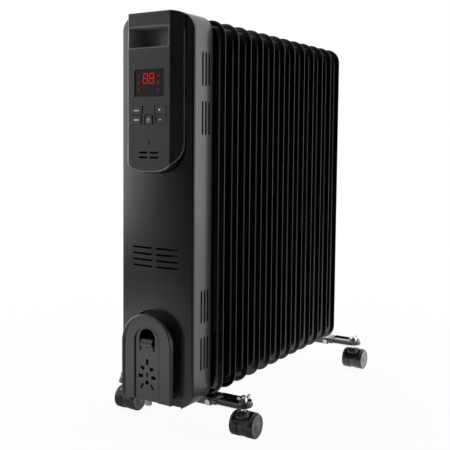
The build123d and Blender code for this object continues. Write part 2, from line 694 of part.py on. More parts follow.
def castor_hood(side, stem_depth):
    """The swivelling body: a canopy over both wheels, a web between them and the stem's socket."""
    across = Rot(0, 90, 0)
    axle = Pos(0, CASTOR_TRAIL, WHEEL_RADIUS) * across
    canopy = axle * Cylinder(HOOD_RADIUS, 2 * HOOD_HALF_WIDTH)
    canopy = fillet(canopy.edges().filter_by(GeomType.CIRCLE), 1.6)
    canopy &= Pos(0, CASTOR_TRAIL, HOOD_EDGE + 30) * Box(60, 60, 60)
    socket = Pos(0, 0, (HOOD_EDGE + HOOD_TOP) / 2) * Cylinder(7.0, HOOD_TOP - HOOD_EDGE)
    socket = chamfer(socket.edges().sort_by(Axis.Z)[-1], 2.0)
    web = axle * Cylinder(WHEEL_RADIUS - 3.0, 2 * HOOD_WEB_HALF)
    hood = canopy + socket
    wheel_room = axle * Cylinder(WHEEL_RADIUS + SIDE_CLEARANCE, 60)
    hood -= wheel_room - axle * Cylinder(WHEEL_RADIUS + 10, 2 * HOOD_WEB_HALF)
    hood += web
    hood -= Pos(0, 0, HOOD_TOP) * Cylinder(STEM_RADIUS + RUNNING_CLEARANCE, 31)
    hood -= axle * Cylinder(AXLE_RADIUS + RUNNING_CLEARANCE, 60)
    return at(side * STEM_X, stem_depth, 0) * hood


def castor_wheels(side, stem_depth):
    """Two wheels on one axle, each with a shallow dish inside its rim."""
    inside = HOOD_WEB_HALF + SIDE_CLEARANCE
    face = CASTOR_HALF_WIDTH
    profile = Polygon((inside, 0), (inside, WHEEL_RADIUS), (face - 2.2, WHEEL_RADIUS),
                      (face - 0.7, WHEEL_RADIUS - 0.6), (face, WHEEL_RADIUS - 2.0),
                      (face, WHEEL_RADIUS - 2.6), (face - 0.6, WHEEL_RADIUS - 3.0),
                      (face - 0.6, 0), align=None)
    wheel = revolve(Plane.XY * profile, Axis.X)
    pair = wheel + mirror(wheel, Plane.YZ)
    pair += Rot(0, 90, 0) * Cylinder(AXLE_RADIUS, 2 * inside + 1)
    return at(side * STEM_X, stem_depth + CASTOR_TRAIL, WHEEL_RADIUS) * pair


# ---------------------------------------------------------------- build every piece
for index in range(FIN_COUNT):
    save(f"fin_{index + 1:02d}", fin(FIRST_FIN_DEPTH + index * FIN_PITCH))
save("upper_header_collars", group(header_collars(HEADER_HIGH)))
save("lower_header_collars",
     group(header_collars(HEADER_LOW) + [collar(HEADER_LOW, SOCKET_FRONT, FIRST_FACE)]))
save("header_end_caps", group([end_cap(HEADER_HIGH, FIRST_FACE, -1), end_cap(HEADER_HIGH, LAST_FACE, 1),
                               end_cap(HEADER_LOW, LAST_FACE, 1)]))
save("heating_element", heating_element())
save("element_gasket", collar(HEADER_LOW, GASKET_FRONT, SOCKET_FRONT))

save("front_fascia", front_fascia())
save("side_housing", side_housing())
save("mounting_plate", mounting_plate())
save("mounting_straps", mounting_straps())
save("cover_screws", cover_screws())

save("control_bezel", control_bezel())
save("grip_pocket", grip_pocket())
save("display_window", display_window())
save("display_module", display_module())
save("control_board", control_board())
save("power_board", power_board())
save("ir_window", ir_window())
for key_name in key_outlines():
    save(key_name, key(key_name))

save("cord_bay", cord_bay())
save("cord_winder", cord_winder())
save("cord_gland", cord_gland())
save("tip_switch", tip_switch())
save("thermal_cutout", thermal_cutout())

FRONT_SEATS = (FIRST_FIN_DEPTH, FIRST_FIN_DEPTH + FIN_PITCH)
REAR_SEATS = (LAST_FIN_DEPTH - FIN_PITCH, LAST_FIN_DEPTH)
save("front_foot_bracket", foot_bracket(FRONT_STEM_DEPTH, FRONT_STEM_DEPTH, FRONT_SEATS[1] + 6, FRONT_SEATS))
save("rear_foot_bracket", foot_bracket(REAR_STEM_DEPTH, REAR_SEATS[0] - 6, REAR_STEM_DEPTH, REAR_SEATS))
save("arm_pivot_pins", group([pivot_pin(side, depth) for side, depth in CORNERS.values()]))
save("header_u_bolts", group([u_bolt(sum(FRONT_SEATS) / 2), u_bolt(sum(REAR_SEATS) / 2)]))
save("u_bolt_nuts", group(u_bolt_nuts(sum(FRONT_SEATS) / 2) + u_bolt_nuts(sum(REAR_SEATS) / 2)))
for corner, (side, depth) in CORNERS.items():
    save(f"{corner}_foot_arm", foot_arm(side, depth))
    save(f"{corner}_castor_fixing", castor_fixing(side, depth))
    save(f"{corner}_castor_hood", castor_hood(side, depth))
    save(f"{corner}_castor_wheels", castor_wheels(side, depth))
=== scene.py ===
"""Looks of the oil filled radiator heater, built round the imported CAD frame."""

import json
import math

import bmesh
import bpy
from mathutils import Matrix, Vector


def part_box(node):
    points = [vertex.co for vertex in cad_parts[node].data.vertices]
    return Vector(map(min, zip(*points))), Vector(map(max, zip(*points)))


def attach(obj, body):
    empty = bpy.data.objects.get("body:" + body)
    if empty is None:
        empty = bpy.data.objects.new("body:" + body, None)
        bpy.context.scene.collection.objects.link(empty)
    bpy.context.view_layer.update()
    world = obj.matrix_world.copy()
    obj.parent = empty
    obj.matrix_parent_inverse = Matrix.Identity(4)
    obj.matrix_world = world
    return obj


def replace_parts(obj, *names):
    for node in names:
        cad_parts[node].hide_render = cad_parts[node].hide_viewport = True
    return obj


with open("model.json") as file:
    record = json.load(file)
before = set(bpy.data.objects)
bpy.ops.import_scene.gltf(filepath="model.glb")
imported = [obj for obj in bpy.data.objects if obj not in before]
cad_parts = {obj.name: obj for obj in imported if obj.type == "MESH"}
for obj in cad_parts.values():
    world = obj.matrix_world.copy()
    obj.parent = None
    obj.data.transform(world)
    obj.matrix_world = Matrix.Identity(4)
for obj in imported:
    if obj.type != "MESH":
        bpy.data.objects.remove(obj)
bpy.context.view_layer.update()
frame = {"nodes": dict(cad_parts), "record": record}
nodes = frame["nodes"]

MM = 0.001
FACE_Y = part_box("front_fascia")[0].y
CORNERS = ("front_left", "front_right", "rear_left", "rear_right")


# ---------------------------------------------------------------- camera
def add_camera():
    """The camera stands to the right of the heater, a little above its middle, and looks slightly down."""
    yaw = math.radians(32.2224)
    pitch = math.radians(4.091)
    roll = math.radians(0.482)
    position = Vector((0.6910, -1.17468, 0.4534))
    ahead = Vector((-math.sin(yaw), math.cos(yaw), 0))
    forward = ahead * math.cos(pitch) - Vector((0, 0, math.sin(pitch)))
    level = Vector((math.cos(yaw), math.sin(yaw), 0))
    upright = level.cross(forward)
    right = math.cos(roll) * level + math.sin(roll) * upright
    up = math.cos(roll) * upright - math.sin(roll) * level
    camera = bpy.data.objects.new("camera", bpy.data.cameras.new("camera"))
    matrix = Matrix((right, up, -forward)).transposed().to_4x4()
    matrix.translation = position
    camera.matrix_world = matrix
    camera.data.lens = 61.036
    camera.data.sensor_width = 36
    camera.data.shift_x = 0.0126
    camera.data.shift_y = -0.0621
    camera.data.clip_start = 0.05
    bpy.context.scene.collection.objects.link(camera)
    bpy.context.scene.camera = camera


# ---------------------------------------------------------------- node helpers
def new_material(name):
    """A new material, its node tree and its Principled shader."""
    material = bpy.data.materials.new(name)
    material.use_nodes = True
    tree = material.node_tree
    return material, tree, tree.nodes["Principled BSDF"]


def set_inputs(shader, **values):
    """Sets shader inputs by their names, written in lower case with underscores."""
    for name, value in values.items():
        shader.inputs[name.replace("_", " ").title().replace("Ior", "IOR")].default_value = value


def noise(tree, scale, detail=3.0, roughness=0.55, stretch=(1, 1, 1)):
    """Noise in each piece's own coordinates. Scale is in features per metre."""
    coordinates = tree.nodes.new("ShaderNodeTexCoord")
    mapping = tree.nodes.new("ShaderNodeMapping")
    mapping.inputs["Scale"].default_value = stretch
    texture = tree.nodes.new("ShaderNodeTexNoise")
    texture.inputs["Scale"].default_value = scale
    texture.inputs["Detail"].default_value = detail
    texture.inputs["Roughness"].default_value = roughness
    tree.links.new(coordinates.outputs["Object"], mapping.inputs["Vector"])
    tree.links.new(mapping.outputs["Vector"], texture.inputs["Vector"])
    return texture.outputs["Fac"]


def remap(tree, value, low, high, from_low=0.3, from_high=0.7):
    """A value's range mapped onto another. The default range is where noise mostly lies."""
    node = tree.nodes.new("ShaderNodeMapRange")
    node.inputs["From Min"].default_value = from_low
    node.inputs["From Max"].default_value = from_high
    node.inputs["To Min"].default_value = low
    node.inputs["To Max"].default_value = high
    tree.links.new(value, node.inputs["Value"])
    return node.outputs["Result"]


def vary_colour(tree, shader, value, dark, light):
    """Base colour that drifts between two shades with a noise value."""
    ramp = tree.nodes.new("ShaderNodeValToRGB")
    ramp.color_ramp.elements[0].position = 0.3
    ramp.color_ramp.elements[0].color = (*dark, 1)
    ramp.color_ramp.elements[1].position = 0.7
    ramp.color_ramp.elements[1].color = (*light, 1)
    tree.links.new(value, ramp.inputs["Fac"])
    tree.links.new(ramp.outputs["Color"], shader.inputs["Base Color"])


def relief(tree, shader, layers, edge=0.0):
    """Bump layers, each (height socket, distance in metres), over softened edges."""
    last = None
    if edge:
        bevel = tree.nodes.new("ShaderNodeBevel")
        bevel.samples = 4
        bevel.inputs["Radius"].default_value = edge
        last = bevel.outputs["Normal"]
    for height, distance in layers:
        bump = tree.nodes.new("ShaderNodeBump")
        bump.inputs["Strength"].default_value = 1.0
        bump.inputs["Distance"].default_value = distance
        tree.links.new(height, bump.inputs["Height"])
        if last is not None:
            tree.links.new(last, bump.inputs["Normal"])
        last = bump.outputs["Normal"]
    if last is not None:
        tree.links.new(last, shader.inputs["Normal"])


def moulded_plastic(name, dark, light, rough, grain=4e-5, edge=0.0006, coat=0.0, shine=0.5):
    """Moulded plastic with a fine spark-eroded grain and slight handling marks."""
    material, tree, shader = new_material(name)
    broad = noise(tree, 9, 4)
    fine = noise(tree, 1400, 2)
    vary_colour(tree, shader, broad, dark, light)
    tree.links.new(remap(tree, broad, rough - 0.04, rough + 0.05), shader.inputs["Roughness"])
    set_inputs(shader, metallic=0.0, coat_weight=coat, coat_roughness=0.15, specular_ior_level=shine)
    relief(tree, shader, [(fine, grain)], edge)
    return material


def enamel(name, dark, light, rough, peel=6e-5, edge=0.0008, coat=0.6):
    """Sprayed enamel on steel: a gloss coat with a little orange peel and dust."""
    material, tree, shader = new_material(name)
    peel_noise = noise(tree, 260, 2)
    broad = noise(tree, 7, 5)
    vary_colour(tree, shader, broad, dark, light)
    tree.links.new(remap(tree, broad, rough - 0.03, rough + 0.07), shader.inputs["Roughness"])
    set_inputs(shader, metallic=0.0, coat_weight=coat, coat_roughness=0.08)
    relief(tree, shader, [(peel_noise, peel)], edge)
    return material


def plated(name, colour, rough, edge=0.0004):
    """Plated steel with faint turning marks and dulled patches."""
    material, tree, shader = new_material(name)
    broad = noise(tree, 60, 4)
    marks = noise(tree, 900, 2, stretch=(1, 1, 6))
    vary_colour(tree, shader, broad, [c * 0.8 for c in colour], colour)
    tree.links.new(remap(tree, broad, rough, rough + 0.12), shader.inputs["Roughness"])
    set_inputs(shader, metallic=1.0)
    relief(tree, shader, [(marks, 1e-5)], edge)
    return material


def glowing(name, colour, strength):
    """A lit segment or lamp behind dark plastic."""
    material, tree, shader = new_material(name)
    broad = noise(tree, 500, 2)
    vary_colour(tree, shader, broad, [c * 0.7 for c in colour], colour)
    set_inputs(shader, roughness=0.4, specular_ior_level=0.1, emission_color=(*colour, 1),
               emission_strength=strength)
    return material


def make_materials():
    """Every finish, under the name of its slot in the record or of the detail that wears it."""
    return {
        "fin_paint": enamel("fin_enamel", (0.002, 0.002, 0.0022), (0.003, 0.003, 0.0033), 0.16,
                            peel=3e-5, edge=0.0, coat=0.5),
        "element_steel": plated("element_steel", (0.50, 0.48, 0.45), 0.35),
        "gasket_rubber": moulded_plastic("gasket_rubber", (0.02, 0.02, 0.02), (0.03, 0.03, 0.03), 0.75),
        "cover_front": moulded_plastic("cover_front", (0.003, 0.003, 0.0032), (0.005, 0.005, 0.0053),
                                       0.29, coat=0.2),
        # The side band's lighter grey is painted light: the band is as black as the front, and the lighter
        # tone stands in for the light falling on the heater's right side.
        "cover_side": enamel("cover_side", (0.020, 0.020, 0.021), (0.026, 0.026, 0.027), 0.36, coat=0.3),
        "zinc_steel": plated("zinc_steel", (0.60, 0.60, 0.58), 0.34),
        "panel": moulded_plastic("panel_plastic", (0.003, 0.003, 0.0032), (0.0045, 0.0045, 0.0047),
                                 0.26, coat=0.3),
        # The finger recess's light grey is painted light: it is far lighter than the dark panel round it,
        # standing in for the light that reaches the recess's back wall.
        "recess": moulded_plastic("recess_plastic_painted_light", (0.30, 0.30, 0.30), (0.36, 0.36, 0.36), 0.34,
                                  coat=0.3),
        # Black plastic, made darker than the cover's own black: in the cord bay this extra darkness is
        # painted shade.
        "bay_black_and_shade": moulded_plastic("bay_plastic_and_painted_shade", (0.001, 0.001, 0.001), (0.002, 0.002, 0.002), 0.55),
        "window": moulded_plastic("window_plastic", (0.004, 0.002, 0.002), (0.005, 0.003, 0.003),
                                  0.25, grain=4e-6, shine=0.25),
        "module": moulded_plastic("module_plastic", (0.06, 0.06, 0.06), (0.09, 0.09, 0.09), 0.60),
        "board": moulded_plastic("board_laminate", (0.02, 0.10, 0.04), (0.03, 0.13, 0.05), 0.45),
        "winder": moulded_plastic("winder_plastic", (0.010, 0.010, 0.0104), (0.014, 0.014, 0.0145),
                                  0.30, coat=0.3),
        "key": moulded_plastic("key_plastic", (0.004, 0.004, 0.0042), (0.006, 0.006, 0.0063),
                               0.26, coat=0.3, edge=0.0003),
        "foot_paint": enamel("foot_enamel", (0.003, 0.003, 0.0032), (0.005, 0.005, 0.0053), 0.16,
                             edge=0.0009),
        "bright_metal": plated("bright_metal", (0.78, 0.78, 0.80), 0.12),
        "castor_hood": moulded_plastic("hood_plastic", (0.005, 0.005, 0.0053), (0.008, 0.008, 0.0084),
                                       0.20, edge=0.0008, coat=0.3),
        # The trim's light grey is a painted highlight: it stands in for the light caught along the panel's
        # rounded edge and the finger recess's rim.
        "trim": moulded_plastic("panel_trim_painted_highlight", (0.10, 0.10, 0.10), (0.14, 0.14, 0.14), 0.25,
                                coat=0.5, edge=0.0),
        "lit_red": glowing("display_red", (0.80, 0.004, 0.006), 1.0),
        "dim_red": glowing("symbol_red", (0.35, 0.02, 0.02), 0.35),
        "print": moulded_plastic("printed_white", (0.82, 0.82, 0.82), (0.90, 0.90, 0.90), 0.5, edge=0.0),
        "wheel_disc": moulded_plastic("wheel_disc_plastic", (0.050, 0.050, 0.051), (0.062, 0.062, 0.063),
                                      0.30, coat=0.3, edge=0.0),
        "castor_wheel": moulded_plastic("wheel_plastic", (0.004, 0.004, 0.0042), (0.006, 0.006, 0.0063),
                                        0.24, edge=0.0),
    }


def paint_frame(materials):
    """Each CAD node takes the finish of its material slot in the record, but for two black ones; the cord
    bay's extra-dark black is partly painted shade.
    """
    for entry in frame["record"]["subparts"]:
        node = nodes[entry["node"]]
        node.data.materials.clear()
        black = entry["node"] in ("cord_bay", "ir_window")
        finish = "bay_black_and_shade" if black else entry["material_slot"]
        node.data.materials.append(materials[finish])


# ---------------------------------------------------------------- mesh helpers, in millimetres
def place(x, depth, z):
    """A point given by its depth behind the cover's foremost line."""
    return Vector((x * MM, FACE_Y + depth * MM, z * MM))


def arc(x, z, radius, start, end, steps=12):
    """Points of an arc seen from the front. Angles in degrees, anticlockwise from +X."""
    angles = [math.radians(start + (end - start) * step / steps) for step in range(steps + 1)]
    return [(x + radius * math.cos(angle), z + radius * math.sin(angle)) for angle in angles]


def rounded_rectangle(left, right, low, high, radius):
    """The outline of a rectangle with round corners, anticlockwise from its upper right."""
    centres = ((right - radius, high - radius), (left + radius, high - radius),
               (left + radius, low + radius), (right - radius, low + radius))
    points = []
    for quarter, (x, z) in enumerate(centres):
        points += arc(x, z, radius, 90 * quarter, 90 * quarter + 90, 6)
    return points


def plate(build, outline, front, thickness):
    """A flat plate seen from the front, from one depth backwards."""
    face = build.faces.new([build.verts.new(place(x, front, z)) for x, z in outline])
    made = bmesh.ops.extrude_face_region(build, geom=[face])
    verts = [item for item in made["geom"] if isinstance(item, bmesh.types.BMVert)]
    bmesh.ops.translate(build, verts=verts, vec=(0, thickness * MM, 0))


def bead(build, path, radius, closed=False, depth_scale=1.0, sides=10):
    """A round bead along a path of points. Depth scale flattens or deepens its section."""
    count = len(path)
    rings = []
    for index, point in enumerate(path):
        before = path[(index - 1) % count] if closed or index else point
        after = path[(index + 1) % count] if closed or index < count - 1 else point
        along = (after - before).normalized()
        across = along.cross(Vector((0, 1, 0))).normalized()
        inward = across.cross(along)
        ring = []
        for side in range(sides):
            turn = 2 * math.pi * side / sides
            offset = math.cos(turn) * across + math.sin(turn) * depth_scale * inward
            ring.append(build.verts.new(point + radius * MM * offset))
        rings.append(ring)
    join_rings(build, rings, closed)
    if not closed:
        build.faces.new(rings[0])
        build.faces.new(rings[-1])


def join_rings(build, rings, closed=False):
    """Quads, or triangles at a pole, between neighbouring rings of points."""
    pairs = list(zip(rings, rings[1:]))
    if closed:
        pairs.append((rings[-1], rings[0]))
    for first, second in pairs:
        count = max(len(first), len(second))
        for index in range(count):
            after = (index + 1) % count
            corners = [first[index % len(first)], first[after % len(first)],
                       second[after % len(second)], second[index % len(second)]]
            build.faces.new(list(dict.fromkeys(corners)))


def lathe(build, profile, centre, axis, steps=48, closed=False):
    """Revolves a profile of (along, radius) points round an axis through a centre."""
    axis = Vector(axis)
    first = axis.orthogonal().normalized()
    second = axis.cross(first)
    rings = []
    for along, radius in profile:
        turns = [2 * math.pi * step / steps for step in range(steps)] if radius else [0.0]
        ring = [first * math.cos(turn) + second * math.sin(turn) for turn in turns]
        hub = centre + axis * along * MM
        rings.append([build.verts.new(hub + spoke * radius * MM) for spoke in ring])
    join_rings(build, rings, closed)


def add_piece(name, build, body, slot, material=None):
    """Turns a finished bmesh into a piece that moves with a body."""
    mesh = bpy.data.meshes.new(name)
    bmesh.ops.recalc_face_normals(build, faces=build.faces)
    build.to_mesh(mesh)
    build.free()
    mesh.shade_smooth()
    mesh.set_sharp_from_angle(angle=math.radians(38))
    mesh.materials.append(material or materials[slot])
    piece = bpy.data.objects.new(name, mesh)
    bpy.context.scene.collection.objects.link(piece)
    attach(piece, body)
    return piece


# ---------------------------------------------------------------- fins
# Sizes in millimetres. A rise is how far one sheet of a fin stands out there.
FIN_CORNER = 27.0
SEAM_HALF = 0.8
CHAMBER_EDGE = 8.5
CHAMBER_SLOPE = 1.6
CHAMBER_RISE = 2.4
CHANNEL_XS = (-52.0, 0.0, 52.0)
CHANNEL_HALF = 13.0
CHANNEL_SLOPE = 1.8
CHANNEL_RISE = 2.6
CHANNEL_ENDS = (153.0, 553.0)
HEADER_INSET = 45.0
HEADER_RADIUS = 32.0
HEADER_SLOPE = 3.0
HEADER_RISE = 1.0
COLLAR_RADIUS = 22.2


def ease(value):
    """A smooth step from 0 to 1."""
    value = min(max(value, 0.0), 1.0)
    return value * value * (3 - 2 * value)


def fin_half_thickness(x, z, half_width, half_height, middle):
    """Half a fin's thickness: a thin welded seam round an oil chamber with three raised channels."""
    over_x = max(abs(x) - half_width + FIN_CORNER, 0)
    over_z = max(abs(z - middle) - half_height + FIN_CORNER, 0)
    inward = FIN_CORNER - math.hypot(over_x, over_z)
    round_edge = 1 - min(inward / SEAM_HALF, 1.0)
    thickness = SEAM_HALF * math.sqrt(max(1 - round_edge ** 2, 0))
    thickness += CHAMBER_RISE * ease((inward - CHAMBER_EDGE) / CHAMBER_SLOPE)
    low, high = CHANNEL_ENDS
    for channel in CHANNEL_XS:
        past_end = max(low + CHANNEL_HALF - z, z - high + CHANNEL_HALF, 0)
        thickness += CHANNEL_RISE * ease((CHANNEL_HALF - math.hypot(x - channel, past_end)) / CHANNEL_SLOPE)
    for header in (middle - half_height + HEADER_INSET, middle + half_height - HEADER_INSET):
        thickness += HEADER_RISE * ease((HEADER_RADIUS - math.hypot(x, z - header)) / HEADER_SLOPE)
    return thickness


def grid_lines(low, high, features):
    """Sorted grid lines, close together at the edges and at each feature's slope."""
    edge = (0, 0.1, 0.35, 0.8, 1.1, 4.5, 8.2, 8.5, 8.9, 9.3, 9.7, 10.1, 10.4, 14, 20, FIN_CORNER)
    lines = [low + step for step in edge] + [high - step for step in edge]
    lines += [line for line in features if low + FIN_CORNER < line < high - FIN_CORNER]
    return sorted(set(lines))


def round_corner(x, z, half_width, half_height, middle):
    """Moves a grid point of the square corner onto the fin's round corner."""
    across = (abs(x) - half_width + FIN_CORNER) / FIN_CORNER
    upward = (abs(z - middle) - half_height + FIN_CORNER) / FIN_CORNER
    if across <= 0 or upward <= 0:
        return x, z
    new_across = across * math.sqrt(1 - upward ** 2 / 2)
    new_upward = upward * math.sqrt(1 - across ** 2 / 2)
    new_x = half_width - FIN_CORNER + new_across * FIN_CORNER
    new_z = half_height - FIN_CORNER + new_upward * FIN_CORNER
    return math.copysign(new_x, x), middle + math.copysign(new_z, z - middle)


def fin_mesh():
    """Two pressed sheets that meet at the welded seam, centred on Y = 0."""
    low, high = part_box("fin_01")
    half_width = (high.x - low.x) / 2 / MM
    half_height = (high.z - low.z) / 2 / MM
    middle = (high.z + low.z) / 2 / MM
    channel_slope = (7, 10.9, 11.2, 11.6, 12.1, 12.6, 13, 13.3)
    across = [-step for step in channel_slope] + [0] + list(channel_slope)
    columns = grid_lines(-half_width, half_width, [x + step for x in CHANNEL_XS for step in across])
    ends = (-32, -28, -22, -14, -6, -0.3, 0, 0.4, 0.9, 1.4, 1.8, 2.5, 3.5, 5, 7, 9, 11, 13, 18)
    rows = [CHANNEL_ENDS[0] + step for step in ends] + [CHANNEL_ENDS[1] - step for step in ends]
    rows += [middle + step for step in range(-160, 161, 40)]
    rows = grid_lines(middle - half_height, middle + half_height, rows)
    build = bmesh.new()
    sheets = []
    for side in (-1, 1):
        sheet = []
        for row_index, z in enumerate(rows):
            row = []
            for column_index, x in enumerate(columns):
                rim = row_index in (0, len(rows) - 1) or column_index in (0, len(columns) - 1)
                if rim and side > 0:
                    row.append(sheets[0][row_index][column_index])
                    continue
                point = round_corner(x, z, half_width, half_height, middle)
                half = fin_half_thickness(*point, half_width, half_height, middle)
                row.append(build.verts.new(Vector((point[0], side * half, point[1])) * MM))
            sheet.append(row)
        sheets.append(sheet)
        for low_row, high_row in zip(sheet, sheet[1:]):
            for index in range(len(columns) - 1):
                build.faces.new((low_row[index], low_row[index + 1],
                                 high_row[index + 1], high_row[index]))
    mesh = bpy.data.meshes.new("fin")
    bmesh.ops.recalc_face_normals(build, faces=build.faces)
    build.to_mesh(mesh)
    build.free()
    mesh.shade_smooth()
    mesh.materials.append(materials["fin_paint"])
    return mesh


def add_fins():
    """The same pressed fin at each fin's place in the CAD."""
    mesh = fin_mesh()
    fins = sorted(name for name in nodes if name.startswith("fin_"))
    for name in fins:
        low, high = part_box(name)
        piece = bpy.data.objects.new(f"{name}_pressing", mesh)
        piece.location.y = (low.y + high.y) / 2
        bpy.context.scene.collection.objects.link(piece)
        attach(piece, "heater")
        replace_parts(piece, name)
    return fins


def add_header_welds(fins):
    """The weld seams where the headers' collars meet the fins, on both faces of each fin."""
    build = bmesh.new()
    low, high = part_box(fins[0])
    face, seam_radius = 4.2, 1.5
    turns = [math.tau * step / 8 for step in range(8)]
    seam = [(seam_radius * math.cos(turn), COLLAR_RADIUS + seam_radius * math.sin(turn)) for turn in turns]
    for name in fins:
        box_low, box_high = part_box(name)
        middle = (box_low.y + box_high.y) / 2
        for z in (low.z + HEADER_INSET * MM, high.z - HEADER_INSET * MM):
            for side in (-1, 1):
                outermost = (name, side) in ((fins[0], -1), (fins[-1], 1))
                if outermost:
                    continue
                centre = Vector((0, middle + side * face * MM, z))
                lathe(build, seam, centre, (0, 1, 0), 48, closed=True)
    add_piece("header_welds", build, "heater", "fin_paint")


# ---------------------------------------------------------------- control panel
# Depths are measured from the cover's foremost line, backwards. Edges are left, right, low, high.
PANEL_FACE = -14.0
PANEL_HALF = 51.2
PANEL_FLAT_HALF = 38.0
PANEL_SLANT_DEPTH = 15.9
COVER_TOP = 642.5
CROWN_RADIUS = 333.4
RECESS_EDGES = (-36.6, 36.6, 590.9, 622.1)
WINDOW_EDGES = (-26.8, 26.8, 519.7, 559.8)


def crown_depth(x):
    """How far the cover's crowned front lies back at a distance from its middle."""
    return CROWN_RADIUS - math.sqrt(CROWN_RADIUS ** 2 - x ** 2)


def panel_edge_depth(x):
    """The depth of the panel's outer edge: level across its front, then falling back to the cover."""
    slanted = max(abs(x) - PANEL_FLAT_HALF, 0) / (PANEL_HALF - PANEL_FLAT_HALF)
    return PANEL_FACE + 0.3 + slanted * PANEL_SLANT_DEPTH


def add_panel_trim():
    """The bead along the outside of the U-shaped panel, coloured light grey as a painted highlight along
    the panel's edge.
    """
    half, bottom, corner = PANEL_HALF + 0.8, 409.7, 40.8
    top = COVER_TOP - 26
    outline = [(-half, top), (-half, 520)]
    outline += arc(-half + corner, bottom + corner, corner, 180, 270, 20)
    outline += arc(half - corner, bottom + corner, corner, 270, 360, 20)
    outline += [(half, 520), (half, top)]
    build = bmesh.new()
    bead(build, [place(x, panel_edge_depth(x), z) for x, z in outline], 1.1)
    add_piece("panel_trim", build, "heater", "panel", materials["trim"])


def add_recess_lips():
    """Thin lips round the finger recess, light grey as a painted highlight along its rim, and round the
    display window.
    """
    build = bmesh.new()
    recess = rounded_rectangle(*RECESS_EDGES, 3)
    bead(build, [place(x, PANEL_FACE, z) for x, z in recess], 0.9, closed=True)
    add_piece("recess_lips", build, "heater", "panel", materials["trim"])
    window = rounded_rectangle(*WINDOW_EDGES, 1.5)
    build = bmesh.new()
    bead(build, [place(x, PANEL_FACE, z) for x, z in window], 0.55, closed=True)
    add_piece("window_frame", build, "heater", "panel", materials["bay_black_and_shade"])


DIGIT_SLANT = 0.11
DIGIT_XS = (-6.1, 5.3)
DIGIT_HALF_WIDTH = 3.7
DIGIT_MIDDLE = 546.5
DIGIT_HALF_HEIGHT = 7.1
BAR_WIDTH = 0.75
BAR_THICKNESS = 0.3
SYMBOL_XS = (-18.0, 18.0)
SYMBOL_ZS = (550.0, 540.0, 529.5)
DISPLAY_FRONT = PANEL_FACE - 0.12


def lit_bar(build, start, end):
    """One lit bar with pointed ends, on the display's front."""
    start = Vector(start)
    end = Vector(end)
    along = (end - start).normalized() * BAR_WIDTH / 2
    across = Vector((-along.y, along.x))
    outline = [start, start + along + across, end - along + across, end, end - along - across,
               start + along - across]
    slanted = [(x + DIGIT_SLANT * (z - DIGIT_MIDDLE), z) for x, z in outline]
    plate(build, slanted, DISPLAY_FRONT, BAR_THICKNESS)


def add_display():
    """Two seven-segment digits, each an eight, and three small symbols on either side."""
    build = bmesh.new()
    levels = (DIGIT_MIDDLE - DIGIT_HALF_HEIGHT, DIGIT_MIDDLE, DIGIT_MIDDLE + DIGIT_HALF_HEIGHT)
    for middle_x in DIGIT_XS:
        left, right = middle_x - DIGIT_HALF_WIDTH, middle_x + DIGIT_HALF_WIDTH
        for z in levels:
            lit_bar(build, (left + 0.5, z), (right - 0.5, z))
        for low, high in zip(levels, levels[1:]):
            for x in (left, right):
                lit_bar(build, (x, low + 0.4), (x, high - 0.4))
        point = arc(right + 1.2, levels[0] - 0.8, 0.6, 0, 324, 9)
        plate(build, point, DISPLAY_FRONT, BAR_THICKNESS)
    add_piece("display_digits", build, "heater", "window", materials["lit_red"])
    build = bmesh.new()
    for x in SYMBOL_XS:
        for z in SYMBOL_ZS:
            ring = [place(px, DISPLAY_FRONT, pz) for px, pz in arc(x, z, 1.9, 0, 345, 23)]
            bead(build, ring, 0.32, closed=True)
            plate(build, arc(x, z, 0.8, 0, 330, 11), DISPLAY_FRONT, BAR_THICKNESS)
    add_piece("display_symbols", build, "heater", "window", materials["dim_red"])


def add_key_marks():
    """Printed marks on the keys: bars, a dot, a dash and the power symbol."""
    front = (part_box("power_key")[0].y - FACE_Y) / MM - 0.08
    marks = {
        "left_upper_key": [rounded_rectangle(-27.6, -18.0, 498.8, 500.6, 0.8)],
        "left_lower_key": [rounded_rectangle(-27.2, -18.2, 484.8, 486.6, 0.8)],
        "right_upper_key": [arc(19.7, 500.3, 1.7, 0, 337.5, 15)],
        "right_lower_key": [rounded_rectangle(18.6, 23.2, 485.3, 486.5, 0.5)],
    }
    for key, outlines in marks.items():
        build = bmesh.new()
        for outline in outlines:
            plate(build, outline, front, 0.2)
        add_piece(f"{key}_mark", build, key, "key", materials["print"])
    build = bmesh.new()
    bead(build, [place(x, front + 0.1, z) for x, z in arc(0, 485.3, 2.5, 125, 415, 24)], 0.45)
    plate(build, rounded_rectangle(-0.45, 0.45, 485.6, 489.0, 0.4), front, 0.2)
    add_piece("power_key_mark", build, "power_key", "key", materials["print"])


def arch(half, top, low):
    """An upright path with a round top, from its foot on the right to its foot on the left."""
    return [(half, low), (half, 100), *arc(0, top - half, half, 0, 180, 48), (-half, 100), (-half, low)]


def add_bay_edge():
    """The thin lip round the mouth of the cord bay."""
    outline = arch(48.9, 199.9, 54.0)
    build = bmesh.new()
    bead(build, [place(x, crown_depth(x) + 0.1, z) for x, z in outline], 0.6)
    add_piece("bay_edge", build, "heater", "cover_front")


def add_winder_lip():
    """The rolled lips along the winder's outer edge and round its inner arch."""
    build = bmesh.new()
    for half, top, depth, radius in ((44.1, 194.1, -19.7, 1.7), (23.3, 177.8, -18.6, 0.8)):
        outline = arch(half, top, 64.4)
        bead(build, [place(x, depth, z) for x, z in outline], radius, depth_scale=0.8)
    add_piece("winder_lip", build, "heater", "winder")


# ---------------------------------------------------------------- feet
def castor_centre(corner):
    """The middle of a castor's axle."""
    low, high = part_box(f"{corner}_castor_wheels")
    return (low + high) / 2


